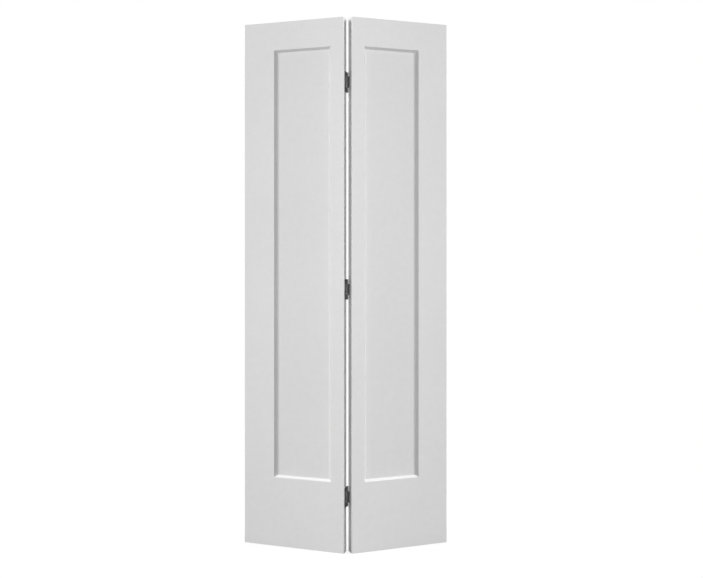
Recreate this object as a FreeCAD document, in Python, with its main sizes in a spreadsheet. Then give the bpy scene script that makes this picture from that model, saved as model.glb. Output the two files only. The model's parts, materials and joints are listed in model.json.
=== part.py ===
"""Two-leaf bifold closet door, half folded, standing on its bottom edges.

Units are millimetres and degrees.  +Z is up and the front of the door faces -Y.  The
origin is the middle of the footprint, on the floor.  The hinge pins stand on the plane
x = 0, behind the leaves, so the leaves fold back to back.  The jamb leaf is on the left
and the lead leaf on the right, seen from the front.

Each leaf is a hollow-core slab: two moulded hardboard skins, each pressed into one
recessed panel, glued on a frame of two stiles and two rails that is filled with
honeycomb.  Both leaves are the same slab, and the jamb leaf is the lead leaf turned
round.  In a leaf's own frame X runs from its hinge edge to its outer edge, Y runs
through its thickness and Z runs up.  In a hinge plate's frame Z is the pin, and the
plate lies as it does when the door is shut flat.
"""
import FreeCAD, Part
import math
import os
import re

import Sketcher

SIZES = {
    "leaf_height": (2006.6, "a leaf, bottom edge to top edge"),
    "leaf_width": (398.2, "a leaf, hinge edge to outer edge"),
    "leaf_thickness": (34.9, "a leaf over both skins"),
    "edge_radius": (1.0, "eased long edges of the skins"),
    "skin_thickness": (3.2, "moulded hardboard skin"),
    "recess_depth": (8.0, "panel floor below the face"),
    "sticking_width": (8.5, "sloped border round the panel"),
    "hinge_margin": (50.0, "face between the hinge edge and the panel"),
    "outer_margin": (121.0, "face between the outer edge and the panel"),
    "top_margin": (107.5, "face above the panel"),
    "bottom_margin": (263.0, "face below the panel"),
    "stile_width": (33.0, "upright frame bar"),
    "rail_height": (57.0, "cross bar of the frame"),
    "core_clearance": (0.3, "round the honeycomb"),
    "cell_width": (165.0, "honeycomb cell across its flats"),
    "cell_wall": (0.8, "honeycomb card"),
    "fold_angle": (19.0, "each leaf, turned back from shut"),
    "closed_gap": (3.6, "between the leaves when shut"),
    "pin_setback": (6.5, "pin axis behind the back faces"),
    "hinge_low": (205.0, "middle of the bottom hinge above the bottom edge"),
    "hinge_high": (239.6, "middle of the top hinge below the top edge"),
    "hinge_height": (76.2, "jamb plate and pin"),
    "plate_thickness": (1.8, "hinge plates and the wall of their eyes"),
    "plate_depth": (27.0, "jamb plate on the leaf's edge, from the back face"),
    "plate_corner": (3.0, "corner radius of the plates"),
    "lead_plate_start": (2.0, "back face to the shoulders of the lead plate"),
    "lead_plate_depth": (12.0, "shoulders to the free edge of the lead plate"),
    "lead_plate_height": (42.0, "wide part of the lead plate"),
    "neck_height": (30.0, "neck and eye of the lead plate"),
    "nest_clearance": (0.5, "round the lead plate in the jamb plate's cut-out"),
    "pin_diameter": (4.0, "hinge pin"),
    "pin_clearance": (0.06, "between pin and eyes, on the radius"),
    "pin_head_diameter": (6.0, "domed ends of the pin"),
    "pin_head_height": (1.0, "rise of the domed ends"),
    "seam_width": (0.4, "gap where an eye is rolled shut"),
    "screw_hole_diameter": (3.7, "narrow side of the countersunk holes"),
    "jamb_screw_spacing": (62.0, "between the two holes of a jamb plate"),
    "jamb_screw_setback": (13.0, "back face to the jamb plate's holes"),
    "lead_screw_spacing": (24.0, "between the two holes of a lead plate"),
    "lead_screw_setback": (8.0, "back face to the lead plate's holes"),
    "pivot_bore_diameter": (9.52, "bores for the pivots and the track guide"),
    "pivot_bore_depth": (50.0, "depth of those bores"),
    "pivot_bore_inset": (19.0, "outer edge to the middle of those bores"),
}
COUNTERSINK_SLOPE = 45.0  # degrees between a hole's side and its axis
HINGES = ("bottom", "middle", "top")
LEAVES = ("jamb", "lead")

doc = FreeCAD.newDocument("BifoldClosetDoor")
sheet = doc.addObject("Spreadsheet::Sheet", "Sizes")
parts = []


def fill_sheet():
    for row, (alias, (value, meaning)) in enumerate(SIZES.items(), start=1):
        sheet.set(f"A{row}", alias)
        sheet.set(f"B{row}", str(value))
        sheet.setAlias(f"B{row}", alias)
        sheet.set(f"C{row}", meaning)
    doc.recompute()


def bind(feature, setting, formula):
    """Tie a setting to the sheet: every alias in the formula becomes its cell."""
    aliases = r"\b(" + "|".join(SIZES) + r")\b"
    feature.setExpression(setting, re.sub(aliases, r"Sizes.\1", formula))


# Formulas that several pieces share.
PANEL_WIDTH = "(leaf_width - hinge_margin - outer_margin)"
PANEL_HEIGHT = "(leaf_height - top_margin - bottom_margin)"
TRAY_GROWTH = "skin_thickness * tan(atan(recess_depth / sticking_width) / 2)"
TRAY_DEPTH = "(recess_depth + skin_thickness)"
FRAME_THICKNESS = "(leaf_thickness - 2 * skin_thickness)"
HINGE_PITCH = f"((leaf_height - hinge_high - hinge_low) / {len(HINGES) - 1})"
EYE_RADIUS = "(pin_diameter / 2 + pin_clearance + plate_thickness)"
HOLE_MOUTH = f"(screw_hole_diameter + 2 * plate_thickness * tan({COUNTERSINK_SLOPE}))"
BACK_CORNER = "(sin(fold_angle) * (closed_gap / 2 + leaf_width) - cos(fold_angle) * pin_setback)"
FRONT_CORNER = ("(sin(fold_angle) * closed_gap / 2"
                " - cos(fold_angle) * (pin_setback + leaf_thickness))")
PIN_Y = f"(-({BACK_CORNER} + {FRONT_CORNER}) / 2)"


def place(part, turn, across, back, up="0"):
    """Turn a part about the vertical and move its own origin to a point."""
    part.Placement = FreeCAD.Placement(FreeCAD.Vector(0, 0, 0), FreeCAD.Vector(0, 0, 1), 1)
    bind(part, "Placement.Rotation.Angle", turn)
    bind(part, "Placement.Base.x", across)
    bind(part, "Placement.Base.y", back)
    bind(part, "Placement.Base.z", up)


def place_on_leaf(part, leaf, along="0", through="0", up="0"):
    """Put a part's own origin at a point of a leaf, and turn it with that leaf."""
    if leaf == "lead":
        turn = "fold_angle"
        flat_x = f"(closed_gap / 2 + {along})"
        flat_y = f"(-pin_setback - leaf_thickness + {through})"
        lean = "sin(fold_angle)"
    else:
        turn = "180 - fold_angle"
        flat_x = f"(-closed_gap / 2 - {along})"
        flat_y = f"(-pin_setback - {through})"
        lean = "-sin(fold_angle)"
    across = f"cos(fold_angle) * {flat_x} - {lean} * {flat_y}"
    back = f"{PIN_Y} + {lean} * {flat_x} + cos(fold_angle) * {flat_y}"
    place(part, turn, across, back, up)


def place_at_pin(part, leaf, up):
    """Put a part's own origin on the pin axis, turned with a leaf."""
    turn = "fold_angle" if leaf == "lead" else "-fold_angle"
    place(part, turn, "0", PIN_Y, up)


def hinge_height_of(hinge):
    return f"(hinge_low + {HINGES.index(hinge)} * {HINGE_PITCH})"


def new_body(label):
    body = doc.addObject("PartDesign::Body", label)
    body.Label = label
    parts.append(body)
    return body


def origin_feature(body, role):
    return next(feature for feature in body.Origin.OriginFeatures if feature.Role == role)


def new_sketch(body, role, name, offset="0"):
    sketch = body.newObject("Sketcher::SketchObject", name)
    sketch.AttachmentSupport = (origin_feature(body, role), [""])
    sketch.MapMode = "FlatFace"
    bind(sketch, "AttachmentOffset.Base.z", offset)
    return sketch


def fix_point(sketch, geometry, end, across, up):
    """Hold one point of a sketch at formulas measured from the sketch's origin."""
    for kind, formula in (("DistanceX", across), ("DistanceY", up)):
        number = sketch.addConstraint(Sketcher.Constraint(kind, -1, 1, geometry, end, 0.0))
        bind(sketch, f"Constraints[{number}]", formula)


def add_outline(sketch, points):
    """A closed outline of straight sides through points given as formulas."""
    count = len(points)
    first = sketch.GeometryCount
    for index in range(count):
        turn = 2 * math.pi / count
        start = FreeCAD.Vector(math.cos(index * turn), math.sin(index * turn), 0)
        end = FreeCAD.Vector(math.cos((index + 1) * turn), math.sin((index + 1) * turn), 0)
        sketch.addGeometry(Part.LineSegment(start, end), False)
    for index in range(count):
        here = first + index
        after = first + (index + 1) % count
        sketch.addConstraint(Sketcher.Constraint("Coincident", here, 2, after, 1))
    for index, (across, up) in enumerate(points):
        fix_point(sketch, first + index, 1, across, up)


def add_rectangle(sketch, left, low, width, height):
    right = f"{left} + {width}"
    high = f"{low} + {height}"
    add_outline(sketch, [(left, low), (right, low), (right, high), (left, high)])


def add_circle(sketch, across, up, diameter):
    circle = Part.Circle(FreeCAD.Vector(0, 0, 0), FreeCAD.Vector(0, 0, 1), 1.0)
    geometry = sketch.addGeometry(circle, False)
    fix_point(sketch, geometry, 3, across, up)
    number = sketch.addConstraint(Sketcher.Constraint("Diameter", geometry, 2.0))
    bind(sketch, f"Constraints[{number}]", diameter)


def pad(body, sketch, name, length, backwards=False, symmetric=False):
    feature = body.newObject("PartDesign::Pad", name)
    feature.Profile = sketch
    feature.Reversed = backwards
    feature.Midplane = symmetric
    bind(feature, "Length", length)
    doc.recompute()
    return feature


def pocket(body, sketch, name, length=None, backwards=False, taper=0.0):
    """Cut a sketch out of the body, to a length or right through both ways."""
    before = body.Shape.Volume
    feature = body.newObject("PartDesign::Pocket", name)
    feature.Profile = sketch
    feature.Reversed = backwards
    feature.TaperAngle = taper
    if length:
        bind(feature, "Length", length)
    else:
        feature.Type = "ThroughAll"
        feature.Midplane = True
    doc.recompute()
    if not feature.Shape.Volume < before:
        raise RuntimeError(f"{body.Label}: {name} cuts nothing")
    return feature


def revolve(body, sketch, axis):
    """Turn a half section fully round one of its own sketch's axes."""
    feature = body.newObject("PartDesign::Revolution", "turned")
    feature.Profile = sketch
    feature.ReferenceAxis = (sketch, [axis])
    feature.Angle = 360
    doc.recompute()
    return feature


def fillet(body, name, radius, wanted):
    """Round the straight edges of the body that a test picks by their middle points."""
    base = body.Tip
    names = []
    for number, edge in enumerate(base.Shape.Edges, start=1):
        middle = edge.valueAt((edge.FirstParameter + edge.LastParameter) / 2)
        if wanted(edge, middle):
            names.append(f"Edge{number}")
    feature = body.newObject("PartDesign::Fillet", name)
    feature.Base = (base, names)
    bind(feature, "Radius", radius)
    doc.recompute()
    return feature


def runs_along(edge, direction):
    ends = [vertex.Point for vertex in edge.Vertexes]
    if len(ends) < 2:
        return False
    way = (ends[1] - ends[0]).normalize()
    return abs(abs(way.dot(direction)) - 1) < 1e-6


# ---------------------------------------------------------------- leaves


def panel_rectangle(sketch, growth):
    """The panel's opening in the face, grown on all four sides."""
    grown_width = f"{PANEL_WIDTH} + 2 * ({growth})"
    grown_height = f"{PANEL_HEIGHT} + 2 * ({growth})"
    add_rectangle(sketch, f"hinge_margin - ({growth})", f"bottom_margin - ({growth})",
                  grown_width, grown_height)


def frustum(body, kind, name, sign, sections):
    """A loft between panel rectangles, each given by its depth below the face."""
    sketches = []
    for number, (depth, growth) in enumerate(sections, start=1):
        sketch = new_sketch(body, "XZ_Plane", f"{name}_section_{number}", f"{sign} ({depth})")
        panel_rectangle(sketch, growth)
        sketches.append(sketch)
    loft = body.newObject(kind, name)
    loft.Profile = sketches[0]
    loft.Sections = sketches[1:]
    loft.Ruled = True
    doc.recompute()
    return loft


def skin(leaf, side):
    """A moulded skin: a flat sheet pressed into a tray with sloped borders."""
    body = new_body(f"{leaf}_leaf_{side}_skin")
    at_start = (leaf == "lead") == (side == "front")
    sign = "-" if at_start else "+"
    through = "0" if at_start else "leaf_thickness"
    place_on_leaf(body, leaf, through=through)

    outline = new_sketch(body, "XZ_Plane", "sheet_outline")
    add_rectangle(outline, "0", "0", "leaf_width", "leaf_height")
    pad(body, outline, "sheet", "skin_thickness", backwards=at_start)
    fillet(body, "eased_edges", "edge_radius", lambda edge, middle: (
        runs_along(edge, FreeCAD.Vector(0, 0, 1)) and abs(middle.y) < 1e-6))
    frustum(body, "PartDesign::AdditiveLoft", "tray", sign, [
        ("skin_thickness", TRAY_GROWTH),
        (TRAY_DEPTH, f"{TRAY_GROWTH} - sticking_width")])
    before = body.Shape.Volume
    frustum(body, "PartDesign::SubtractiveLoft", "panel", sign, [
        ("0", "0"),
        ("recess_depth", "-sticking_width")])
    if not body.Shape.Volume < before:
        raise RuntimeError(f"{body.Label}: the panel cuts nothing")


def pivot_bores(body):
    """A blind bore up from the bottom end and one down from the top end."""
    across = "leaf_width - pivot_bore_inset"
    for end, height in (("bottom", "0"), ("top", "leaf_height")):
        sketch = new_sketch(body, "XY_Plane", f"{end}_bore_circle", height)
        add_circle(sketch, across, "leaf_thickness / 2", "pivot_bore_diameter")
        pocket(body, sketch, f"{end}_bore", "pivot_bore_depth", backwards=end == "bottom")


def frame_bar(label, leaf, left, low, width, height):
    """A bar of the frame, between the two skins."""
    body = new_body(label)
    place_on_leaf(body, leaf)
    section = new_sketch(body, "XZ_Plane", "bar_outline", "-skin_thickness")
    add_rectangle(section, left, low, width, height)
    pad(body, section, "bar", FRAME_THICKNESS, backwards=True)
    return body


def leaf_frame(leaf):
    far_stile = "leaf_width - stile_width"
    between = "(leaf_width - 2 * stile_width)"
    frame_bar(f"{leaf}_leaf_hinge_stile", leaf, "0", "0", "stile_width", "leaf_height")
    outer_stile = frame_bar(f"{leaf}_leaf_outer_stile", leaf,
                            far_stile, "0", "stile_width", "leaf_height")
    pivot_bores(outer_stile)
    frame_bar(f"{leaf}_leaf_bottom_rail", leaf, "stile_width", "0", between, "rail_height")
    frame_bar(f"{leaf}_leaf_top_rail", leaf,
              "stile_width", "leaf_height - rail_height", between, "rail_height")


def hexagon(centre, across_flats):
    """A hexagon in the XZ plane that stands on a corner."""
    radius = across_flats / math.sqrt(3)
    corners = []
    for number in range(7):
        angle = math.radians(30 + 60 * number)
        out = FreeCAD.Vector(math.cos(angle), 0, math.sin(angle)) * radius
        corners.append(centre + out)
    return Part.Face(Part.makePolygon(corners))


def honeycomb_core(leaf):
    """Card honeycomb, crushed thinner where the two trays come through."""
    gap = sheet.core_clearance
    wall = sheet.cell_wall
    low = FreeCAD.Vector(sheet.stile_width + gap, sheet.skin_thickness + gap,
                         sheet.rail_height + gap)
    high = FreeCAD.Vector(sheet.leaf_width - sheet.stile_width - gap,
                          sheet.leaf_thickness - sheet.skin_thickness - gap,
                          sheet.leaf_height - sheet.rail_height - gap)
    size = high - low
    block = Part.makeBox(size.x, size.y, size.z, low)
    inside = Part.makeBox(size.x - 2 * wall, size.y, size.z - 2 * wall,
                          low + FreeCAD.Vector(wall, 0, wall))

    pitch = sheet.cell_width + wall
    row_pitch = pitch * math.sqrt(3) / 2
    middle = (low + high) / 2
    columns = math.ceil(size.x / pitch / 2) + 1
    rows = math.ceil(size.z / row_pitch / 2) + 1
    cells = []
    for row in range(-rows, rows + 1):
        shift = pitch / 2 if row % 2 else 0.0
        for column in range(-columns, columns + 1):
            centre = FreeCAD.Vector(middle.x + column * pitch + shift, low.y,
                                    middle.z + row * row_pitch)
            cell = hexagon(centre, sheet.cell_width).extrude(FreeCAD.Vector(0, size.y, 0))
            cells.append(cell.common(inside))
    walls = block.cut(Part.makeCompound([cell for cell in cells if cell.Volume > 1]))

    slope = math.atan(sheet.recess_depth / sheet.sticking_width)
    growth = sheet.skin_thickness * math.tan(slope / 2) + gap
    tray_depth = sheet.recess_depth + sheet.skin_thickness + gap
    tray_width = sheet.leaf_width - sheet.hinge_margin - sheet.outer_margin + 2 * growth
    tray_height = sheet.leaf_height - sheet.top_margin - sheet.bottom_margin + 2 * growth
    corner_x = sheet.hinge_margin - growth
    corner_z = sheet.bottom_margin - growth
    for start in (0.0, sheet.leaf_thickness - tray_depth):
        corner = FreeCAD.Vector(corner_x, start, corner_z)
        walls = walls.cut(Part.makeBox(tray_width, tray_depth, tray_height, corner))

    label = f"{leaf}_leaf_honeycomb_core"
    core = doc.addObject("Part::Feature", label)
    core.Label = label
    core.Shape = walls
    place_on_leaf(core, leaf)
    parts.append(core)


# ---------------------------------------------------------------- hinges


def add_eye(body, height):
    """The round barrel of a plate, still solid, centred on the pin."""
    ring = new_sketch(body, "XY_Plane", "eye_circle")
    add_circle(ring, "0", "0", f"2 * {EYE_RADIUS}")
    pad(body, ring, "eye", height, symmetric=True)


def bore_eye(body, seam_left):
    """The pin's bore, and the seam where the sheet is rolled round to meet itself."""
    hole = new_sketch(body, "XY_Plane", "bore_circle")
    add_circle(hole, "0", "0", "pin_diameter + 2 * pin_clearance")
    pocket(body, hole, "pin_bore")
    seam = new_sketch(body, "XY_Plane", "seam_outline")
    add_rectangle(seam, seam_left, f"-{EYE_RADIUS} - seam_width", "seam_width", EYE_RADIUS)
    pocket(body, seam, "seam")


def countersinks(body, leaf, face, backwards):
    """Two tapered screw holes through a plate, wide at the face away from the leaf."""
    sketch = new_sketch(body, "YZ_Plane", "screw_circles", face)
    for sign in ("-", "+"):
        add_circle(sketch, f"-pin_setback - {leaf}_screw_setback",
                   f"{sign}{leaf}_screw_spacing / 2", HOLE_MOUTH)
    pocket(body, sketch, "screw_holes", "plate_thickness", backwards, -COUNTERSINK_SLOPE)


def jamb_plate(hinge):
    """The tall plate: its T-shaped cut-out takes the lead plate when the door is shut."""
    body = new_body(f"{hinge}_hinge_jamb_plate")
    place_at_pin(body, "jamb", hinge_height_of(hinge))
    outline = new_sketch(body, "YZ_Plane", "plate_outline", "-closed_gap / 2")
    add_rectangle(outline, "-pin_setback - plate_depth", "-hinge_height / 2",
                  "(pin_setback + plate_depth)", "hinge_height")
    pad(body, outline, "plate", "plate_thickness")
    free_edge = -(sheet.pin_setback + sheet.plate_depth)
    fillet(body, "plate_corners", "plate_corner", lambda edge, middle: (
        runs_along(edge, FreeCAD.Vector(1, 0, 0)) and abs(middle.y - free_edge) < 1e-6))
    add_eye(body, "hinge_height")

    cut = new_sketch(body, "YZ_Plane", "nest_outline")
    neck = "(neck_height / 2 + nest_clearance)"
    wide = "(lead_plate_height / 2 + nest_clearance)"
    past_eye = f"{EYE_RADIUS} + plate_thickness"
    shoulder = "-pin_setback - lead_plate_start + nest_clearance"
    floor = "-pin_setback - lead_plate_start - lead_plate_depth - nest_clearance"
    add_outline(cut, [
        (past_eye, f"-{neck}"), (past_eye, neck),
        (shoulder, neck), (shoulder, wide), (floor, wide),
        (floor, f"-{wide}"), (shoulder, f"-{wide}"), (shoulder, f"-{neck}")])
    pocket(body, cut, "nest")
    bore_eye(body, "0")
    countersinks(body, "jamb", "-closed_gap / 2 + plate_thickness", backwards=False)


def lead_plate(hinge):
    """The short plate: a wide leaf on a narrower neck that is rolled round the pin."""
    body = new_body(f"{hinge}_hinge_lead_plate")
    place_at_pin(body, "lead", hinge_height_of(hinge))
    outline = new_sketch(body, "YZ_Plane", "plate_outline", "closed_gap / 2 - plate_thickness")
    neck = "neck_height / 2"
    wide = "lead_plate_height / 2"
    shoulder = "-pin_setback - lead_plate_start"
    free = "-pin_setback - lead_plate_start - lead_plate_depth"
    add_outline(outline, [
        ("0", f"-{neck}"), ("0", neck), (shoulder, neck), (shoulder, wide),
        (free, wide), (free, f"-{wide}"), (shoulder, f"-{wide}"), (shoulder, f"-{neck}")])
    pad(body, outline, "plate", "plate_thickness")
    half = sheet.lead_plate_height / 2
    fillet(body, "plate_corners", "plate_corner / 2", lambda edge, middle: (
        runs_along(edge, FreeCAD.Vector(1, 0, 0)) and abs(abs(middle.z) - half) < 1e-6))
    add_eye(body, "neck_height")
    bore_eye(body, "-seam_width")
    countersinks(body, "lead", "closed_gap / 2 - plate_thickness", backwards=True)


def hinge_pin(hinge):
    """The pin: a plain shank between two low tapered heads."""
    body = new_body(f"{hinge}_hinge_pin")
    place_at_pin(body, "jamb", hinge_height_of(hinge))
    section = new_sketch(body, "XZ_Plane", "half_section")
    head = "pin_head_diameter / 2"
    shank = "pin_diameter / 2"
    end = "(hinge_height / 2 + pin_head_height)"
    add_outline(section, [
        ("0", f"-{end}"), (shank, f"-{end}"), (head, "-hinge_height / 2"),
        (shank, "-hinge_height / 2"), (shank, "hinge_height / 2"),
        (head, "hinge_height / 2"), (shank, end), ("0", end)])
    revolve(body, section, "V_Axis")


# ---------------------------------------------------------------- whole door


def check_document():
    doc.recompute()
    for feature in doc.Objects:
        if {"Invalid", "Error"} & set(feature.State):
            raise RuntimeError(f"{feature.Label} failed: {feature.State}")
    for part in parts:
        if part.Shape.isNull() or not part.Shape.isValid():
            raise RuntimeError(f"{part.Label} has no sound shape")


def write_parts():
    os.makedirs("parts", exist_ok=True)
    for part in parts:
        part.Shape.exportStep(os.path.join("parts", part.Label + ".step"))


fill_sheet()
for leaf in LEAVES:
    for side in ("front", "back"):
        skin(leaf, side)
    leaf_frame(leaf)
    honeycomb_core(leaf)
for hinge in HINGES:
    jamb_plate(hinge)
    lead_plate(hinge)
    hinge_pin(hinge)
check_document()
write_parts()
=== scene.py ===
"""A two-leaf bifold closet door, half folded, in a white studio.

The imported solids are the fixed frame.  The operators below lay moulded skins over the
leaves, finish the stiles, rails and cores, and make the hinge plates, pins and screws.
Each leaf is worked on in its own frame: X from the hinge edge to the outer edge, Y
through the thickness, Z up.  All lengths are metres.
"""

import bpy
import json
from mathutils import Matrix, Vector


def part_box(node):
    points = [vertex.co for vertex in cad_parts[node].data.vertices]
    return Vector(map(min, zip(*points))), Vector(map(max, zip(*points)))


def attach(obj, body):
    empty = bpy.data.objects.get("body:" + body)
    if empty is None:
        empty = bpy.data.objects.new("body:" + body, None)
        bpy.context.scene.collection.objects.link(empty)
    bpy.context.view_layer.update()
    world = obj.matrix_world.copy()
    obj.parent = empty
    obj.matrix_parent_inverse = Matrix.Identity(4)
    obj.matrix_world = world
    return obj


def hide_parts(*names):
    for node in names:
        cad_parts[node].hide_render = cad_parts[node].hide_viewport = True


bl_info = {
    "name": "Bifold Closet Door",
    "version": (1, 0, 0),
    "blender": (4, 5, 0),
    "location": "View3D > Sidebar > Closet Door",
    "description": "Moulded skins, painted frame, hinges and a white studio for a bifold door",
    "category": "Object",
}

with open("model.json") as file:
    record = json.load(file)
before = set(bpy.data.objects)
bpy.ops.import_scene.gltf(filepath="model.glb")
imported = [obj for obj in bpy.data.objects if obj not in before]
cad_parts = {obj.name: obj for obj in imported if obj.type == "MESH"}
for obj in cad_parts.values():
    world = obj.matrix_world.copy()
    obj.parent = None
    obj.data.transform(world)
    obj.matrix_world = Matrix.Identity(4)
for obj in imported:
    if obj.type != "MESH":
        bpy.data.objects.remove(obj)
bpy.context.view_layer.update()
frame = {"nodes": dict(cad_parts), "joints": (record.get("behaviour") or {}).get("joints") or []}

import json
import math

import bmesh
import bpy
from bpy.props import FloatProperty, FloatVectorProperty, PointerProperty
from mathutils import Matrix, Vector

MM = 0.001
TOUCHING = 1e-6
LEAVES = ("jamb", "lead")
HINGES = ("bottom", "middle", "top")
FOLD = next(joint for joint in frame["joints"] if joint["name"] == "fold")
LEAF_TURN = math.radians(-FOLD["range_deg"][0] / 2)
PIN = Vector((FOLD["pos_m"][0], FOLD["pos_m"][1], 0.0))
IMAGE_SIZE = (703, 578)


def pin_frame(leaf):
    """The frame on the pin axis in which a leaf runs along +X."""
    turn = LEAF_TURN if leaf == "lead" else math.pi - LEAF_TURN
    return Matrix.Translation(PIN) @ Matrix.Rotation(turn, 4, "Z")


def box_in(matrix, *nodes):
    """Lowest and highest corner of some CAD nodes, measured in another frame."""
    back = matrix.inverted()
    points = [back @ v.co for name in nodes for v in frame["nodes"][name].data.vertices]
    low = Vector([min(p[axis] for p in points) for axis in range(3)])
    high = Vector([max(p[axis] for p in points) for axis in range(3)])
    return low, high


def leaf_box(leaf):
    """The whole leaf's box in its pin frame."""
    return box_in(pin_frame(leaf), f"{leaf}_leaf_front_skin", f"{leaf}_leaf_back_skin")


def leaf_frame(leaf):
    return pin_frame(leaf) @ Matrix.Translation(leaf_box(leaf)[0])


def leaf_size(leaf):
    low, high = leaf_box(leaf)
    return high - low


def starts_at_front(leaf):
    """Whether a leaf's own Y = 0 face is the front of the door."""
    return leaf == "lead"


# ---------------------------------------------------------------- settings


def length(name, description, millimetres):
    return FloatProperty(name=name, description=description, default=millimetres * MM,
                         unit="LENGTH", subtype="DISTANCE", precision=5)


def colour(name, description, default):
    return FloatVectorProperty(name=name, description=description, default=default,
                               subtype="COLOR", min=0.0, max=1.0)


class DoorSizes(bpy.types.PropertyGroup):
    """Sizes of the details that are laid over the solids"""
    skin_thickness: length("Skin", "Moulded hardboard", 3.2)
    edge_radius: length("Eased edge", "Long outer edges of the skins", 1.0)
    arris: length("Arris", "Broken inner and end edges of the skins", 0.25)
    hinge_margin: length("Hinge margin", "Face between hinge edge and panel", 50.0)
    outer_margin: length("Outer margin", "Face between outer edge and panel", 121.0)
    top_margin: length("Top margin", "Face above the panel", 107.5)
    bottom_margin: length("Bottom margin", "Face below the panel", 263.0)
    sticking_width: length("Border width", "Sloped border round the panel", 8.5)
    recess_depth: length("Recess", "Panel floor below the face", 8.0)
    lip_radius: length("Lip", "Rounding where the face turns into the border", 0.4)
    cove_radius: length("Cove", "Rounding at the foot of the border", 0.8)
    plate_thickness: length("Hinge plate", "Sheet of the hinge plates", 1.8)
    plate_edge: length("Plate edge", "Rounding of the stamped plates", 0.3)
    pin_shank: length("Pin", "Diameter of the hinge pins between their heads", 4.0)
    pin_head_rise: length("Pin head", "Rise of the domed pin heads", 1.0)
    screw_shank: length("Screw", "Shank diameter", 3.5)
    screw_head: length("Screw head", "Countersunk head diameter", 7.0)
    screw_length: length("Screw length", "Head face to point", 19.0)
    screw_point: length("Screw point", "Length of the pointed end", 4.0)
    cross_arm: length("Cross recess", "Middle of the head to the end of an arm", 1.9)
    cross_half: length("Cross arm", "Half the width of an arm", 0.45)
    cross_depth: length("Cross depth", "Head face to the floor of the recess", 1.6)
    jamb_spacing: length("Jamb screws", "Between the screws of a jamb plate", 62.0)
    jamb_setback: length("Jamb screw setback", "Back face to the screws", 13.0)
    lead_spacing: length("Lead screws", "Between the screws of a lead plate", 24.0)
    lead_setback: length("Lead screw setback", "Back face to the screws", 8.0)


class DoorColours(bpy.types.PropertyGroup):
    """Colours of the door's finishes"""
    primer: colour("Primer", "White primer on faces and long edges", (0.74, 0.74, 0.74))
    pine: colour("Pine", "Raw end grain of stiles and rails", (0.62, 0.44, 0.26))
    hardboard: colour("Hardboard", "Raw skin at its cut ends", (0.24, 0.14, 0.075))
    card: colour("Card", "Honeycomb core", (0.42, 0.30, 0.18))
    plate: colour("Hinge plate", "Dark hinge finish", (0.14, 0.14, 0.14))
    steel: colour("Worn steel", "Metal where the dark finish is rubbed", (0.34, 0.34, 0.34))


def lamp_power(name, description, watts):
    return FloatProperty(name=name, description=description, default=watts, min=0.0,
                         unit="POWER")


class StudioLight(bpy.types.PropertyGroup):
    """Strength of the lamps and of the white room"""
    front_power: lamp_power("Front softbox", "The broad lamp round the camera", 68.0)
    side_strength: FloatProperty(name="Side lights", description="Each of the side lights",
                                 default=2.78, min=0.0)
    top_strength: FloatProperty(name="Top light", description="Light straight from above",
                                default=1.7, min=0.0)
    back_strength: FloatProperty(name="Back light", description="Soft light from behind",
                                 default=2.65, min=0.0)
    room_fill: FloatProperty(name="Room fill", description="Light from the white room",
                             default=0.02, min=0.0)


def sizes():
    return bpy.context.scene.closet_door_sizes


def colours():
    return bpy.context.scene.closet_door_colours


def light():
    return bpy.context.scene.closet_door_light


# ---------------------------------------------------------------- materials


# Tones by which painted shade on the panel, its slopes and the long edges, a mottle or a patch
# multiply the colour below them.
NO_PAINTED_SHADE = (1.0, 1.0, 1.0)
# Painted shade: the sunk panel a little darker than the face.
PANEL_PAINTED_SHADE = (0.96, 0.96, 0.96)
# Painted shade: the sloped border round the panel darker.
SLOPE_PAINTED_SHADE = (0.82, 0.82, 0.82)
# Painted shade: the long edges a little darker.
EDGE_PAINTED_SHADE = (0.97, 0.97, 0.97)
MOTTLE = (0.975, 0.975, 0.975)
PINE_PATCH = (0.86, 0.82, 0.76)
PRIMER_SHEEN = 0.3
RECESS_FADE = 0.3 * MM

# Heights of the fine relief.
SKIN_GRAIN = 0.02 * MM
PINE_GRAIN = 0.12 * MM
ORANGE_PEEL = 0.07 * MM
NIB_RISE = 0.08 * MM
SAW_MARKS = 0.2 * MM
CARD_FLECKS = 0.1 * MM
ROLLING_LINES = 0.03 * MM

# Roughness of the hinge pieces, from the rolled plates to the turned screws.
PLATE_ROUGHNESS = 0.46
PIN_ROUGHNESS = 0.38
SCREW_ROUGHNESS = 0.36


def rgba(value, gain=1.0):
    return (value[0] * gain, value[1] * gain, value[2] * gain, 1.0)


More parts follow.
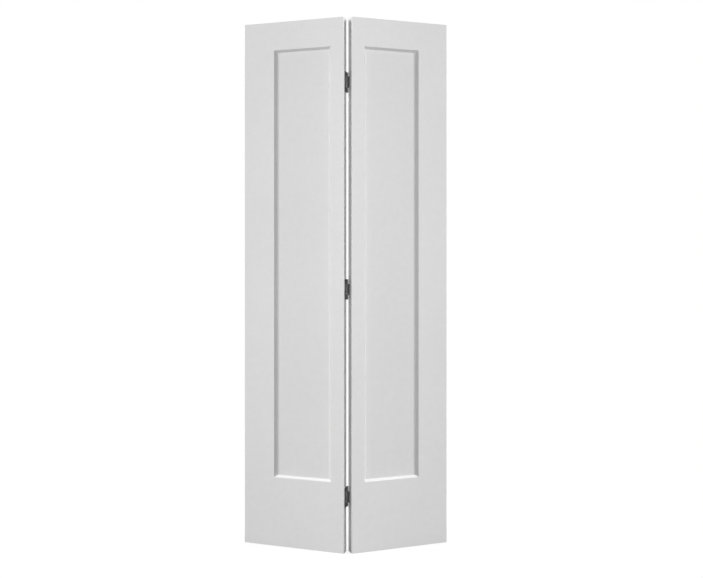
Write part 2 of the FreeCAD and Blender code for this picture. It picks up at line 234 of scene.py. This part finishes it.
class Nodes:
    """A short way to add and join the nodes of one material."""

    def __init__(self, name):
        self.material = bpy.data.materials.new(name)
        self.material.use_nodes = True
        self.tree = self.material.node_tree
        self.tree.nodes.clear()
        self.output = self.add("ShaderNodeOutputMaterial")

    def add(self, kind, inputs=None, **settings):
        node = self.tree.nodes.new(kind)
        for key, value in settings.items():
            setattr(node, key, value)
        for key, value in (inputs or {}).items():
            if isinstance(value, bpy.types.NodeSocket):
                self.tree.links.new(value, node.inputs[key])
            else:
                node.inputs[key].default_value = value
        return node

    def principled(self, inputs):
        shader = self.add("ShaderNodeBsdfPrincipled", inputs)
        self.tree.links.new(shader.outputs[0], self.output.inputs["Surface"])
        return shader

    def place(self, stretch=(1.0, 1.0, 1.0), turn=0.0, centre=(0.0, 0.0, 0.0)):
        """Object coordinates for a pattern that is moved, turned and stretched."""
        source = self.add("ShaderNodeTexCoord").outputs["Object"]
        return self.add("ShaderNodeMapping", {
            "Vector": source, "Location": centre, "Rotation": (0.0, 0.0, turn),
            "Scale": stretch}, vector_type="TEXTURE").outputs[0]

    def noise(self, scale, detail=2.0, roughness=0.5, stretch=(1.0, 1.0, 1.0)):
        """A soft random pattern round 0.5; its scale is in waves per metre."""
        return self.add("ShaderNodeTexNoise", {
            "Vector": self.place(stretch), "Scale": scale, "Detail": detail,
            "Roughness": roughness}).outputs["Fac"]

    def remap(self, value, low, high, to_low=0.0, to_high=1.0):
        """A value's stretch from low to high, laid out from to_low to to_high."""
        limits = dict(enumerate((value, low, high, to_low, to_high)))
        return self.add("ShaderNodeMapRange", limits, clamp=True).outputs[0]

    def spots(self, scale, size):
        """Small scattered spots: 1 in their middle, 0 outside."""
        distance = self.add("ShaderNodeTexVoronoi", {
            "Vector": self.place(), "Scale": scale}).outputs["Distance"]
        return self.remap(distance, 0.0, size, 1.0, 0.0)

    def mix(self, factor, first, second, blend="MIX"):
        """Two colours mixed; 6, 7 and 2 are the colour sockets of the node."""
        node = self.add("ShaderNodeMix", {0: factor, 6: first, 7: second},
                        data_type="RGBA", blend_type=blend)
        return node.outputs[2]

    def bump(self, height, distance, strength=1.0, normal=None):
        inputs = {"Height": height, "Distance": distance, "Strength": strength}
        if normal:
            inputs["Normal"] = normal
        return self.add("ShaderNodeBump", inputs).outputs[0]

    def facing_along(self, leaf):
        """1 on the long edges of a leaf, 0 on its face, and between on the slopes."""
        normal = self.add("ShaderNodeTexCoord").outputs["Normal"]
        way = pin_frame(leaf).to_3x3() @ Vector((1, 0, 0))
        along = self.add("ShaderNodeVectorMath", {0: normal, 1: way},
                         operation="DOT_PRODUCT").outputs["Value"]
        return self.add("ShaderNodeMath", {0: along}, operation="ABSOLUTE").outputs[0]

    def in_recess(self, leaf):
        """1 on the sunk panels of a leaf, 0 on the faces and most of the slopes."""
        low, high = leaf_box(leaf)
        middle = pin_frame(leaf) @ Matrix.Translation((low + high) / 2)
        place = self.place(turn=middle.to_euler().z, centre=middle.translation)
        through = self.add("ShaderNodeSeparateXYZ", {0: place}).outputs["Y"]
        off_middle = self.add("ShaderNodeMath", {0: through}, operation="ABSOLUTE").outputs[0]
        floor = (high.y - low.y) / 2 - sizes().recess_depth
        return self.remap(off_middle, floor + RECESS_FADE, floor + 3 * RECESS_FADE, 1.0, 0.0)

    def facing_up(self):
        """1 on faces that look straight up or down, 0 on upright ones."""
        normal = self.add("ShaderNodeTexCoord").outputs["Normal"]
        up = self.add("ShaderNodeSeparateXYZ", {0: normal}).outputs["Z"]
        size = self.add("ShaderNodeMath", {0: up}, operation="ABSOLUTE").outputs[0]
        return self.remap(size, 0.9, 0.95)


def shared_material(name, maker, *arguments):
    """A finish by its name, made when it is first asked for.

    The solids bring plain materials that are named after their slots, so no finish
    takes the name of a slot.
    """
    return bpy.data.materials.get(name) or maker(name, *arguments)


def primer_layers(nodes, leaf, grain):
    """Colour, roughness and bump of sprayed primer, over a trace of the grain below.

    Painted shade makes the upright slopes round a panel darker and, less so, the panel and the
    long edges.
    """
    primer = colours().primer
    cloud = nodes.remap(nodes.noise(2.2, detail=3.0, roughness=0.55), 0.3, 0.7)
    tone = nodes.mix(cloud, rgba(primer, 0.985), rgba(primer, 1.015))
    mottle = nodes.remap(nodes.noise(45.0, detail=4.0, roughness=0.6), 0.35, 0.65)
    tone = nodes.mix(mottle, tone, rgba(MOTTLE), "MULTIPLY")
    along = nodes.facing_along(leaf)
    # Painted shade on the flat faces: the sunk panel darker, the face left as it is.
    flat_painted_shade = nodes.mix(nodes.in_recess(leaf), rgba(NO_PAINTED_SHADE), rgba(PANEL_PAINTED_SHADE))
    # Painted shade on the upright faces: the slopes darker, the long edges a little darker.
    upright_painted_shade = nodes.mix(nodes.remap(along, 0.75, 0.95), rgba(SLOPE_PAINTED_SHADE), rgba(EDGE_PAINTED_SHADE))
    # Painted shade, laid between the flat and the upright faces by how they face.
    coat_with_painted_shade = nodes.mix(nodes.remap(along, 0.3, 0.6), flat_painted_shade, upright_painted_shade)
    tone = nodes.mix(1.0, tone, coat_with_painted_shade, "MULTIPLY")
    rough = nodes.remap(mottle, 0.0, 1.0, 0.44, 0.58)
    fibre = nodes.noise(110.0, detail=4.0, roughness=0.6, stretch=(1.0, 1.0, 33.0))
    peel = nodes.noise(380.0, roughness=0.45)
    nibs = nodes.spots(42.0, 0.035)
    relief = nodes.bump(fibre, grain)
    relief = nodes.bump(peel, ORANGE_PEEL, normal=relief)
    relief = nodes.bump(nibs, NIB_RISE, normal=relief)
    return tone, rough, relief


def primed(nodes, coat_with_painted_shade, raw, raw_roughness, marks):
    """Primer all round, and raw sawn wood with its marks at the top and bottom ends."""
    tone, rough, relief = coat_with_painted_shade
    ends = nodes.facing_up()
    depth = nodes.remap(ends, 0.0, 1.0, 0.0, SAW_MARKS)
    nodes.principled({
        "Base Color": nodes.mix(ends, tone, raw),
        "Roughness": nodes.remap(ends, 0.0, 1.0, rough, raw_roughness),
        "Specular IOR Level": PRIMER_SHEEN,
        "Normal": nodes.bump(marks, depth, normal=relief)})
    return nodes.material


def skin_material(name, leaf):
    """Primed hardboard, brown and fibrous where the sheet is sawn."""
    nodes = Nodes(name)
    coat_with_painted_shade = primer_layers(nodes, leaf, SKIN_GRAIN)
    fibres = nodes.noise(700.0, detail=5.0, roughness=0.7)
    raw = nodes.mix(nodes.remap(fibres, 0.3, 0.7), rgba(colours().hardboard, 0.7),
                    rgba(colours().hardboard, 1.35))
    return primed(nodes, coat_with_painted_shade, raw, 0.9, fibres)


def pine_material(name, leaf, place, wave, **kinds):
    """Primed softwood whose sawn ends show growth rings, drawn as a wave pattern."""
    nodes = Nodes(name)
    coat_with_painted_shade = primer_layers(nodes, leaf, PINE_GRAIN)
    rings = nodes.add("ShaderNodeTexWave", {"Vector": nodes.place(**place), **wave},
                      wave_profile="SAW", **kinds).outputs["Fac"]
    pine = nodes.mix(nodes.remap(rings, 0.25, 1.0), rgba(colours().pine),
                     rgba(colours().pine, 0.55))
    patches = nodes.remap(nodes.noise(14.0, detail=3.0), 0.3, 0.7)
    pine = nodes.mix(patches, pine, rgba(PINE_PATCH), "MULTIPLY")
    pores = nodes.noise(900.0, detail=3.0, roughness=0.6)
    raw = nodes.mix(nodes.remap(pores, 0.5, 0.8), pine, rgba(colours().pine, 0.4))
    return primed(nodes, coat_with_painted_shade, raw, 0.85, rings)


def stile_material(name, leaf):
    """End grain: arcs of growth rings round a centre behind the door."""
    return pine_material(
        name, leaf, {"centre": (0.0, 0.12, 0.0)},
        {"Scale": 88.0, "Distortion": 2.4, "Detail": 2.0, "Detail Scale": 0.5},
        wave_type="RINGS", rings_direction="Z")


def rail_material(name, leaf):
    """Long grain that runs along the leaf."""
    turn = LEAF_TURN if leaf == "lead" else -LEAF_TURN
    return pine_material(
        name, leaf, {"turn": turn, "stretch": (9.0, 1.0, 1.0)},
        {"Scale": 62.0, "Distortion": 5.0, "Detail": 3.0, "Detail Scale": 0.6},
        wave_type="BANDS", bands_direction="Y")


def card_material(name):
    """Brown kraft card with darker flecks."""
    nodes = Nodes(name)
    flecks = nodes.noise(300.0, detail=4.0, roughness=0.65, stretch=(1.0, 1.0, 2.5))
    nodes.principled({
        "Base Color": nodes.mix(nodes.remap(flecks, 0.3, 0.7), rgba(colours().card, 0.8),
                                rgba(colours().card, 1.2)),
        "Roughness": 0.92,
        "Normal": nodes.bump(flecks, CARD_FLECKS)})
    return nodes.material


def hinge_material(name, roughness):
    """Dark plated steel with fine rolling lines and small rubbed spots."""
    nodes = Nodes(name)
    lines = nodes.noise(1500.0, detail=3.0, roughness=0.6, stretch=(1.0, 1.0, 20.0))
    rubs = nodes.remap(nodes.noise(160.0, detail=5.0, roughness=0.7), 0.62, 0.78)
    dark = nodes.mix(nodes.remap(lines, 0.3, 0.7), rgba(colours().plate, 0.8),
                     rgba(colours().plate, 1.25))
    nodes.principled({
        "Base Color": nodes.mix(rubs, dark, rgba(colours().steel)),
        "Metallic": 0.7,
        "Roughness": nodes.remap(lines, 0.3, 0.7, roughness, roughness + 0.14),
        "Specular IOR Level": 0.3,
        "Specular Tint": (0.45, 0.45, 0.45, 1.0),
        "Normal": nodes.bump(lines, ROLLING_LINES)})
    return nodes.material


def dress(node, material):
    """Give a CAD node its finish."""
    slots = node.material_slots
    if not slots:
        node.data.materials.append(material)
    for slot in slots:
        slot.material = material


# ---------------------------------------------------------------- mesh helpers


# Degrees between faces past which the shading is split.
PLATE_CREASE = 35
PIN_CREASE = 40
SCREW_CREASE = 30
FLAT_ENOUGH = 1

# How finely round forms are cut.
ROUNDING_STEPS = 3
PLATE_EDGE_STEPS = 2
PIN_SEGMENTS = 32
DOME_STEPS = 6
SCREW_SEGMENTS = 24

# Width of the recess's floor and of the screw's tip, as a share of what they narrow from.
CROSS_TAPER = 0.45
POINT_TAPER = 0.15

# Degrees that the cross recesses are turned: the first, and more for each further one.
FIRST_DRIVE = 20
NEXT_SCREW = 47
NEXT_HINGE = 31


def finish_piece(bm, name, material, body, replaced=()):
    """Turn a bmesh into a piece of the door that rides on a body."""
    mesh = bpy.data.meshes.new(name)
    bm.normal_update()
    bm.to_mesh(mesh)
    bm.free()
    mesh.materials.append(material)
    piece = bpy.data.objects.new(name, mesh)
    bpy.context.scene.collection.objects.link(piece)
    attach(piece, body)
    if replaced:
        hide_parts(*replaced)
    return piece


def crease_by_angle(bm, degrees):
    """Smooth shading, split where two faces meet at more than so many degrees."""
    limit = math.radians(degrees)
    for face in bm.faces:
        face.smooth = True
    for edge in bm.edges:
        edge.smooth = edge.calc_face_angle(math.pi) < limit


def bevel_edges(bm, edges, offset, segments):
    return bmesh.ops.bevel(bm, geom=edges, offset=offset, offset_type="OFFSET",
                           segments=segments, profile=0.5, affect="EDGES",
                           clamp_overlap=True, material=-1)


def is_upright(edge):
    """Whether an edge runs along Z."""
    way = (edge.verts[1].co - edge.verts[0].co).normalized()
    return abs(way.z) > 0.999


# ---------------------------------------------------------------- pieces


def sheet_with_panel_lines(size, s, growth):
    """A flat skin, cut along the four lines of its panel, and the panel's middle."""
    left = s.hinge_margin - growth
    right = size.x - s.outer_margin + growth
    low = s.bottom_margin - growth
    high = size.z - s.top_margin + growth
    bm = bmesh.new()
    bmesh.ops.create_cube(bm, size=1.0)
    bmesh.ops.translate(bm, verts=bm.verts, vec=(0.5, 0.5, 0.5))
    bmesh.ops.scale(bm, verts=bm.verts, vec=(size.x, s.skin_thickness, size.z))
    cuts = [((left, 0, 0), (1, 0, 0)), ((right, 0, 0), (1, 0, 0)),
            ((0, 0, low), (0, 0, 1)), ((0, 0, high), (0, 0, 1))]
    for place, normal in cuts:
        everything = bm.verts[:] + bm.edges[:] + bm.faces[:]
        bmesh.ops.bisect_plane(bm, geom=everything, plane_co=place, plane_no=normal)
    return bm, Vector(((left + right) / 2, 0, (low + high) / 2))


def press_panel(bm, middle, s, growth, slope):
    """Sink the panel, raise its tray, and give back the faces of the rounded border."""
    centres = [f for f in bm.faces if abs(f.normal.y) > 0.9
               and (f.calc_center_median() - middle).xz.length < 10 * MM]
    panel = next(f for f in centres if f.normal.y < 0)
    tray = next(f for f in centres if f.normal.y > 0)
    bmesh.ops.inset_region(bm, faces=[tray], thickness=s.sticking_width,
                           depth=s.recess_depth, use_even_offset=True)
    bmesh.ops.inset_region(bm, faces=[panel], thickness=growth, depth=0.0,
                           use_even_offset=True)
    lip = panel.edges[:]
    bmesh.ops.inset_region(bm, faces=[panel], thickness=s.sticking_width,
                           depth=-s.recess_depth, use_even_offset=True)
    cove = panel.edges[:]
    rounded = set()
    for edges, radius in ((lip, s.lip_radius), (cove, s.cove_radius)):
        made = bevel_edges(bm, edges, radius * math.tan(slope / 2), ROUNDING_STEPS)
        rounded.update(made["faces"])
    return rounded


def ease_long_edges(bm, width, s):
    """Round the outer long edges and break the inner ones; the rounded faces come back."""
    def long_edges(outer):
        return [e for e in bm.edges if is_upright(e) and all(
            min(v.co.x, width - v.co.x) < TOUCHING and (v.co.y < TOUCHING) == outer
            for v in e.verts)]

    eased = bevel_edges(bm, long_edges(outer=True), s.edge_radius, ROUNDING_STEPS)
    rounded = set(eased["faces"])
    bevel_edges(bm, long_edges(outer=False), s.arris, 1)
    return rounded


def moulded_skin(leaf, side):
    """A sheet with a recessed panel pressed in one side and its tray on the other."""
    size = leaf_size(leaf)
    s = sizes()
    slope = math.atan(s.recess_depth / s.sticking_width)
    growth = s.skin_thickness * math.tan(slope / 2)
    bm, middle = sheet_with_panel_lines(size, s, growth)
    rounded = press_panel(bm, middle, s, growth, slope)
    rounded |= ease_long_edges(bm, size.x, s)
    for face in bm.faces:
        face.smooth = face in rounded
    if (side == "front") != starts_at_front(leaf):
        bmesh.ops.scale(bm, verts=bm.verts, vec=(1, -1, 1))
        bmesh.ops.translate(bm, verts=bm.verts, vec=(0, size.y, 0))
        bmesh.ops.reverse_faces(bm, faces=bm.faces)
    bm.transform(leaf_frame(leaf))
    material = shared_material(f"primed_hardboard_{leaf}", skin_material, leaf)
    finish_piece(bm, f"{leaf}_{side}_moulded_skin", material, f"{leaf}_leaf",
                 [f"{leaf}_leaf_{side}_skin"])


def stamped_plate(hinge, leaf):
    """A hinge plate: the CAD plate with the soft edges of stamped sheet."""
    node = f"{hinge}_hinge_{leaf}_plate"
    bm = bmesh.new()
    bm.from_mesh(frame["nodes"][node].data)
    bmesh.ops.remove_doubles(bm, verts=bm.verts, dist=TOUCHING)
    bmesh.ops.dissolve_limit(bm, angle_limit=math.radians(FLAT_ENOUGH), verts=bm.verts,
                             edges=bm.edges)
    sharp = [e for e in bm.edges if e.calc_face_angle(0.0) > math.radians(PLATE_CREASE)]
    bevel_edges(bm, sharp, sizes().plate_edge, PLATE_EDGE_STEPS)
    crease_by_angle(bm, PLATE_CREASE)
    material = shared_material("dark_plate", hinge_material, PLATE_ROUGHNESS)
    finish_piece(bm, f"{hinge}_{leaf}_hinge_plate", material, f"{leaf}_leaf",
                 [node])


def turned(bm, outline):
    """Spin a half outline of (radius, height) points round Z, and close its poles."""
    verts = [bm.verts.new((radius, 0.0, height)) for radius, height in outline]
    edges = [bm.edges.new(pair) for pair in zip(verts, verts[1:])]
    bmesh.ops.spin(bm, geom=verts + edges, cent=(0, 0, 0), axis=(0, 0, 1),
                   angle=2 * math.pi, steps=PIN_SEGMENTS, use_merge=True)
    bmesh.ops.remove_doubles(bm, verts=bm.verts, dist=TOUCHING)
    bmesh.ops.recalc_face_normals(bm, faces=bm.faces)


def domed_pin(hinge):
    """The hinge pin with a low dome on each head."""
    node = f"{hinge}_hinge_pin"
    low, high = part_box(node)
    rise = sizes().pin_head_rise
    head = (high.x - low.x) / 2
    shank = sizes().pin_shank / 2
    half = (high.z - low.z) / 2 - rise
    dome = []
    for number in range(DOME_STEPS + 1):
        angle = math.pi / 2 * number / DOME_STEPS
        dome.append((head * math.cos(angle), half + rise * math.sin(angle)))
    outline = [(radius, -height) for radius, height in reversed(dome)]
    outline += [(shank, -half), (shank, half)] + dome
    bm = bmesh.new()
    turned(bm, outline)
    crease_by_angle(bm, PIN_CREASE)
    bmesh.ops.translate(bm, verts=bm.verts, vec=(low + high) / 2)
    material = shared_material("dark_pin", hinge_material, PIN_ROUGHNESS)
    finish_piece(bm, f"{hinge}_domed_pin", material, "jamb_leaf", [node])


def cross_outline(arm, half):
    """The twelve corners of a driver's cross, anticlockwise."""
    corners = []
    for quarter in range(4):
        turn = Matrix.Rotation(quarter * math.pi / 2, 3, "Z")
        for x, y in ((arm, -half), (arm, half), (half, half)):
            corners.append(turn @ Vector((x, y, 0.0)))
    return corners


def only(kind, geometry):
    """The vertices or edges among what an operator gives back."""
    return [item for item in geometry if isinstance(item, kind)]


def screw_head(bm, s):
    """The face of the head with its cross recess; its rim comes back."""
    rim = bmesh.ops.create_circle(bm, segments=SCREW_SEGMENTS, radius=s.screw_head / 2)["verts"]
    rim_edges = list({e for v in rim for e in v.link_edges})
    corners = [bm.verts.new(p) for p in cross_outline(s.cross_arm, s.cross_half)]
    cross_edges = [bm.edges.new(pair) for pair in zip(corners, corners[1:] + corners[:1])]
    bmesh.ops.bridge_loops(bm, edges=rim_edges + cross_edges)
    floor = bm.faces.new(corners)
    sunk = only(bmesh.types.BMVert, bmesh.ops.extrude_face_region(bm, geom=[floor])["geom"])
    bmesh.ops.delete(bm, geom=[floor], context="FACES_ONLY")
    bmesh.ops.scale(bm, verts=sunk, vec=(CROSS_TAPER, CROSS_TAPER, 1.0))
    bmesh.ops.translate(bm, verts=sunk, vec=(0, 0, -s.cross_depth))
    return rim_edges


def add_screw(bm, matrix):
    """A countersunk screw: head face at the origin, shank along -Z, cross recess."""
    s = sizes()
    cone = (s.screw_head - s.screw_shank) / 2
    made = bmesh.new()
    edges = screw_head(made, s)
    stations = [(s.screw_shank / s.screw_head, cone),
                (1.0, s.screw_length - s.screw_point - cone),
                (POINT_TAPER, s.screw_point)]
    for factor, drop in stations:
        grown = bmesh.ops.extrude_edge_only(made, edges=edges)["geom"]
        verts = only(bmesh.types.BMVert, grown)
        edges = only(bmesh.types.BMEdge, grown)
        bmesh.ops.scale(made, verts=verts, vec=(factor, factor, 1.0))
        bmesh.ops.translate(made, verts=verts, vec=(0, 0, -drop))
    bmesh.ops.edgeloop_fill(made, edges=edges)
    bmesh.ops.recalc_face_normals(made, faces=made.faces)
    crease_by_angle(made, SCREW_CREASE)
    made.transform(matrix)
    mesh = bpy.data.meshes.new("screw")
    made.to_mesh(mesh)
    made.free()
    bm.from_mesh(mesh)
    bpy.data.meshes.remove(mesh)


def plate_screws(hinge, leaf):
    """The two screws of a plate, their cross recesses turned differently."""
    s = sizes()
    low, high = leaf_box(leaf)
    spacing = s.jamb_spacing if leaf == "jamb" else s.lead_spacing
    setback = s.jamb_setback if leaf == "jamb" else s.lead_setback
    through = high.y - setback if starts_at_front(leaf) else low.y + setback
    plate_low, plate_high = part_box(f"{hinge}_hinge_{leaf}_plate")
    middle = (plate_low.z + plate_high.z) / 2
    bm = bmesh.new()
    for number, sign in enumerate((-1, 1)):
        place = Vector((low.x - s.plate_thickness, through, middle + sign * spacing / 2))
        drive = math.radians(FIRST_DRIVE + NEXT_SCREW * number
                             + NEXT_HINGE * HINGES.index(hinge))
        matrix = (pin_frame(leaf) @ Matrix.Translation(place)
                  @ Matrix.Rotation(-math.pi / 2, 4, "Y") @ Matrix.Rotation(drive, 4, "Z"))
        add_screw(bm, matrix)
    material = shared_material("dark_screw", hinge_material, SCREW_ROUGHNESS)
    finish_piece(bm, f"{hinge}_{leaf}_screws", material, f"{leaf}_leaf")


# ---------------------------------------------------------------- studio


# Camera in metres from the hinge pins, its lens in pixels, and the lamps in degrees.
CAMERA_HEIGHT = 1.1604
CAMERA_LEFT = 0.2250
CAMERA_BACK = 3.3449
FOCAL_PIXELS = 885.4
OPTICAL_AXIS = (287.7, 243.1)
SENSOR = 36.0
SIDE_AZIMUTH = 81.0
SIDE_ELEVATION = 25.0
SIDE_SPREAD = 14.0
TOP_ELEVATION = 90.0
TOP_SPREAD = 6.0
BACK_AZIMUTH = 180.0
BACK_ELEVATION = 12.0
BACK_SPREAD = 20.0
FRONT_PLACE = (-0.1, -3.4, 1.5)
FRONT_AIM = (0.0, 0.0, 1.0)
FRONT_SIZE = 2.2
FLOOR_REACH = 5.0
FLOOR_CELLS = 8
FLOOR_DROP = 0.2 * MM
SHADOW_REACH = 2.0
SHADOW_KEPT = 0.22
FLOOR_WHITE = (0.8, 0.8, 0.8, 1)
FLOOR_BOUNCE = (0.1, 0.1, 0.1, 1)


def add_camera():
    """A level camera in front of the door, a little to the left of its hinges."""
    width, height = IMAGE_SIZE
    data = bpy.data.cameras.new("camera")
    data.sensor_width = SENSOR
    data.lens = FOCAL_PIXELS * SENSOR / width
    data.shift_x = (width / 2 - OPTICAL_AXIS[0]) / width
    data.shift_y = -(height / 2 - OPTICAL_AXIS[1]) / width
    camera = bpy.data.objects.new("camera", data)
    camera.location = (PIN.x - CAMERA_LEFT, PIN.y - CAMERA_BACK, CAMERA_HEIGHT)
    camera.rotation_euler = (math.pi / 2, 0, 0)
    bpy.context.scene.collection.objects.link(camera)
    bpy.context.scene.camera = camera


def add_softbox(name, place, aim, size, power):
    """A square area lamp that the camera doesn't see."""
    data = bpy.data.lights.new(name, "AREA")
    data.shape = "SQUARE"
    data.size = size
    data.energy = power
    lamp = bpy.data.objects.new(name, data)
    lamp.location = place
    way = Vector(aim) - Vector(place)
    lamp.rotation_euler = way.to_track_quat("-Z", "Y").to_euler()
    lamp.visible_camera = False
    bpy.context.scene.collection.objects.link(lamp)


def add_sun(name, azimuth, elevation, spread, strength):
    """Even light from one direction: azimuth from the front towards +X, in degrees."""
    data = bpy.data.lights.new(name, "SUN")
    data.energy = strength
    data.angle = math.radians(spread)
    lamp = bpy.data.objects.new(name, data)
    level = math.cos(math.radians(elevation))
    to_lamp = Vector((level * math.sin(math.radians(azimuth)),
                      -level * math.cos(math.radians(azimuth)),
                      math.sin(math.radians(elevation))))
    lamp.rotation_euler = to_lamp.to_track_quat("Z", "Y").to_euler()
    bpy.context.scene.collection.objects.link(lamp)


def seen_directly(tree):
    """1 where the ray comes from the camera, a mirror or glass."""
    path = tree.nodes.new("ShaderNodeLightPath")
    total = path.outputs["Is Camera Ray"]
    for name in ("Is Glossy Ray", "Is Transmission Ray"):
        either = tree.nodes.new("ShaderNodeMath")
        either.operation = "MAXIMUM"
        tree.links.new(total, either.inputs[0])
        tree.links.new(path.outputs[name], either.inputs[1])
        total = either.outputs[0]
    return total


def white_world(fill):
    """White where it is seen, and a soft grey fill for the rest of the light."""
    world = bpy.data.worlds.new("white_studio")
    world.use_nodes = True
    tree = world.node_tree
    tree.nodes.clear()
    output = tree.nodes.new("ShaderNodeOutputWorld")
    mix = tree.nodes.new("ShaderNodeMixShader")
    shades = []
    for strength in (fill, 1.0):
        shade = tree.nodes.new("ShaderNodeBackground")
        shade.inputs["Color"].default_value = (1, 1, 1, 1)
        shade.inputs["Strength"].default_value = strength
        shades.append(shade)
    tree.links.new(seen_directly(tree), mix.inputs[0])
    tree.links.new(shades[0].outputs[0], mix.inputs[1])
    tree.links.new(shades[1].outputs[0], mix.inputs[2])
    tree.links.new(mix.outputs[0], output.inputs["Surface"])
    bpy.context.scene.world = world


def add_floor():
    """A pale floor that is white to the eye but keeps a soft shadow."""
    bm = bmesh.new()
    bmesh.ops.create_grid(bm, x_segments=FLOOR_CELLS, y_segments=FLOOR_CELLS,
                          size=FLOOR_REACH)
    bmesh.ops.translate(bm, verts=bm.verts, vec=(0, 0, -FLOOR_DROP))
    mesh = bpy.data.meshes.new("floor")
    bm.to_mesh(mesh)
    bm.free()
    nodes = Nodes("pale_floor")
    tree = nodes.tree
    bounce = nodes.add("ShaderNodeBsdfDiffuse", {"Color": FLOOR_BOUNCE})
    white = nodes.add("ShaderNodeBsdfDiffuse", {"Color": FLOOR_WHITE})
    near = nodes.add("ShaderNodeTexGradient", {
        "Vector": nodes.place((SHADOW_REACH, SHADOW_REACH, 1.0))},
        gradient_type="QUADRATIC_SPHERE").outputs[0]
    shadowed = nodes.remap(near, 0.0, 0.6, 0.0, SHADOW_KEPT)
    glow = nodes.add("ShaderNodeEmission", {"Color": (1, 1, 1, 1)})
    keep = nodes.add("ShaderNodeMixShader", {
        0: shadowed, 1: glow.outputs[0], 2: white.outputs[0]})
    seen = nodes.add("ShaderNodeMixShader", {
        0: seen_directly(tree), 1: bounce.outputs[0], 2: keep.outputs[0]})
    tree.links.new(seen.outputs[0], nodes.output.inputs["Surface"])
    mesh.materials.append(nodes.material)
    floor = bpy.data.objects.new("floor", mesh)
    bpy.context.scene.collection.objects.link(floor)


# ---------------------------------------------------------------- operators


class CLOSETDOOR_OT_skins(bpy.types.Operator):
    """Lay a moulded skin over the front and the back of each leaf"""
    bl_idname = "closet_door.skins"
    bl_label = "Moulded Skins"

    def execute(self, context):
        for leaf in LEAVES:
            for side in ("front", "back"):
                moulded_skin(leaf, side)
        return {"FINISHED"}


class CLOSETDOOR_OT_frames(bpy.types.Operator):
    """Finish the stiles, rails and honeycomb cores"""
    bl_idname = "closet_door.frames"
    bl_label = "Leaf Frames"

    def execute(self, context):
        card = shared_material("kraft_card", card_material)
        for leaf in LEAVES:
            stiles = shared_material(f"primed_pine_{leaf}_stile", stile_material, leaf)
            rails = shared_material(f"primed_pine_{leaf}_rail", rail_material, leaf)
            for end in ("hinge_stile", "outer_stile"):
                dress(frame["nodes"][f"{leaf}_leaf_{end}"], stiles)
            for end in ("top_rail", "bottom_rail"):
                dress(frame["nodes"][f"{leaf}_leaf_{end}"], rails)
            dress(frame["nodes"][f"{leaf}_leaf_honeycomb_core"], card)
        return {"FINISHED"}


class CLOSETDOOR_OT_plates(bpy.types.Operator):
    """Make the stamped plates of the three hinges"""
    bl_idname = "closet_door.plates"
    bl_label = "Hinge Plates"

    def execute(self, context):
        for hinge in HINGES:
            for leaf in LEAVES:
                stamped_plate(hinge, leaf)
        return {"FINISHED"}


class CLOSETDOOR_OT_pins(bpy.types.Operator):
    """Make the domed hinge pins"""
    bl_idname = "closet_door.pins"
    bl_label = "Hinge Pins"

    def execute(self, context):
        for hinge in HINGES:
            domed_pin(hinge)
        return {"FINISHED"}


class CLOSETDOOR_OT_screws(bpy.types.Operator):
    """Make the countersunk screws of every hinge plate"""
    bl_idname = "closet_door.screws"
    bl_label = "Hinge Screws"

    def execute(self, context):
        for hinge in HINGES:
            for leaf in LEAVES:
                plate_screws(hinge, leaf)
        return {"FINISHED"}


class CLOSETDOOR_OT_studio(bpy.types.Operator):
    """Set up the camera, the lamps, the white world and the floor"""
    bl_idname = "closet_door.studio"
    bl_label = "White Studio"

    def execute(self, context):
        context.scene.view_settings.view_transform = "Standard"
        add_camera()
        white_world(light().room_fill)
        add_floor()
        for side, sign in (("left", -1), ("right", 1)):
            add_sun(f"{side}_light", sign * SIDE_AZIMUTH, SIDE_ELEVATION, SIDE_SPREAD,
                    light().side_strength)
        add_sun("top_light", 0.0, TOP_ELEVATION, TOP_SPREAD, light().top_strength)
        add_sun("back_light", BACK_AZIMUTH, BACK_ELEVATION, BACK_SPREAD,
                light().back_strength)
        add_softbox("front_softbox", FRONT_PLACE, FRONT_AIM, FRONT_SIZE,
                    light().front_power)
        return {"FINISHED"}


class CLOSETDOOR_PT_panel(bpy.types.Panel):
    """Sizes, colours and steps of the closet door"""
    bl_idname = "CLOSETDOOR_PT_panel"
    bl_label = "Closet Door"
    bl_space_type = "VIEW_3D"
    bl_region_type = "UI"
    bl_category = "Closet Door"

    def draw(self, context):
        for group in (sizes(), colours(), light()):
            box = self.layout.box()
            for name in group.bl_rna.properties.keys():
                if name not in {"rna_type", "name"}:
                    box.prop(group, name)
        for operator in OPERATORS:
            self.layout.operator(operator.bl_idname)


OPERATORS = (CLOSETDOOR_OT_skins, CLOSETDOOR_OT_frames, CLOSETDOOR_OT_plates,
             CLOSETDOOR_OT_pins, CLOSETDOOR_OT_screws, CLOSETDOOR_OT_studio)
CLASSES = (DoorSizes, DoorColours, StudioLight, *OPERATORS, CLOSETDOOR_PT_panel)


def register():
    for item in CLASSES:
        bpy.utils.register_class(item)
    bpy.types.Scene.closet_door_sizes = PointerProperty(type=DoorSizes)
    bpy.types.Scene.closet_door_colours = PointerProperty(type=DoorColours)
    bpy.types.Scene.closet_door_light = PointerProperty(type=StudioLight)


def unregister():
    del bpy.types.Scene.closet_door_light
    del bpy.types.Scene.closet_door_colours
    del bpy.types.Scene.closet_door_sizes
    for item in reversed(CLASSES):
        bpy.utils.unregister_class(item)


def main():
    register()
    bpy.ops.closet_door.skins()
    bpy.ops.closet_door.frames()
    bpy.ops.closet_door.plates()
    bpy.ops.closet_door.pins()
    bpy.ops.closet_door.screws()
    bpy.ops.closet_door.studio()


if __name__ == "__main__":
    main()
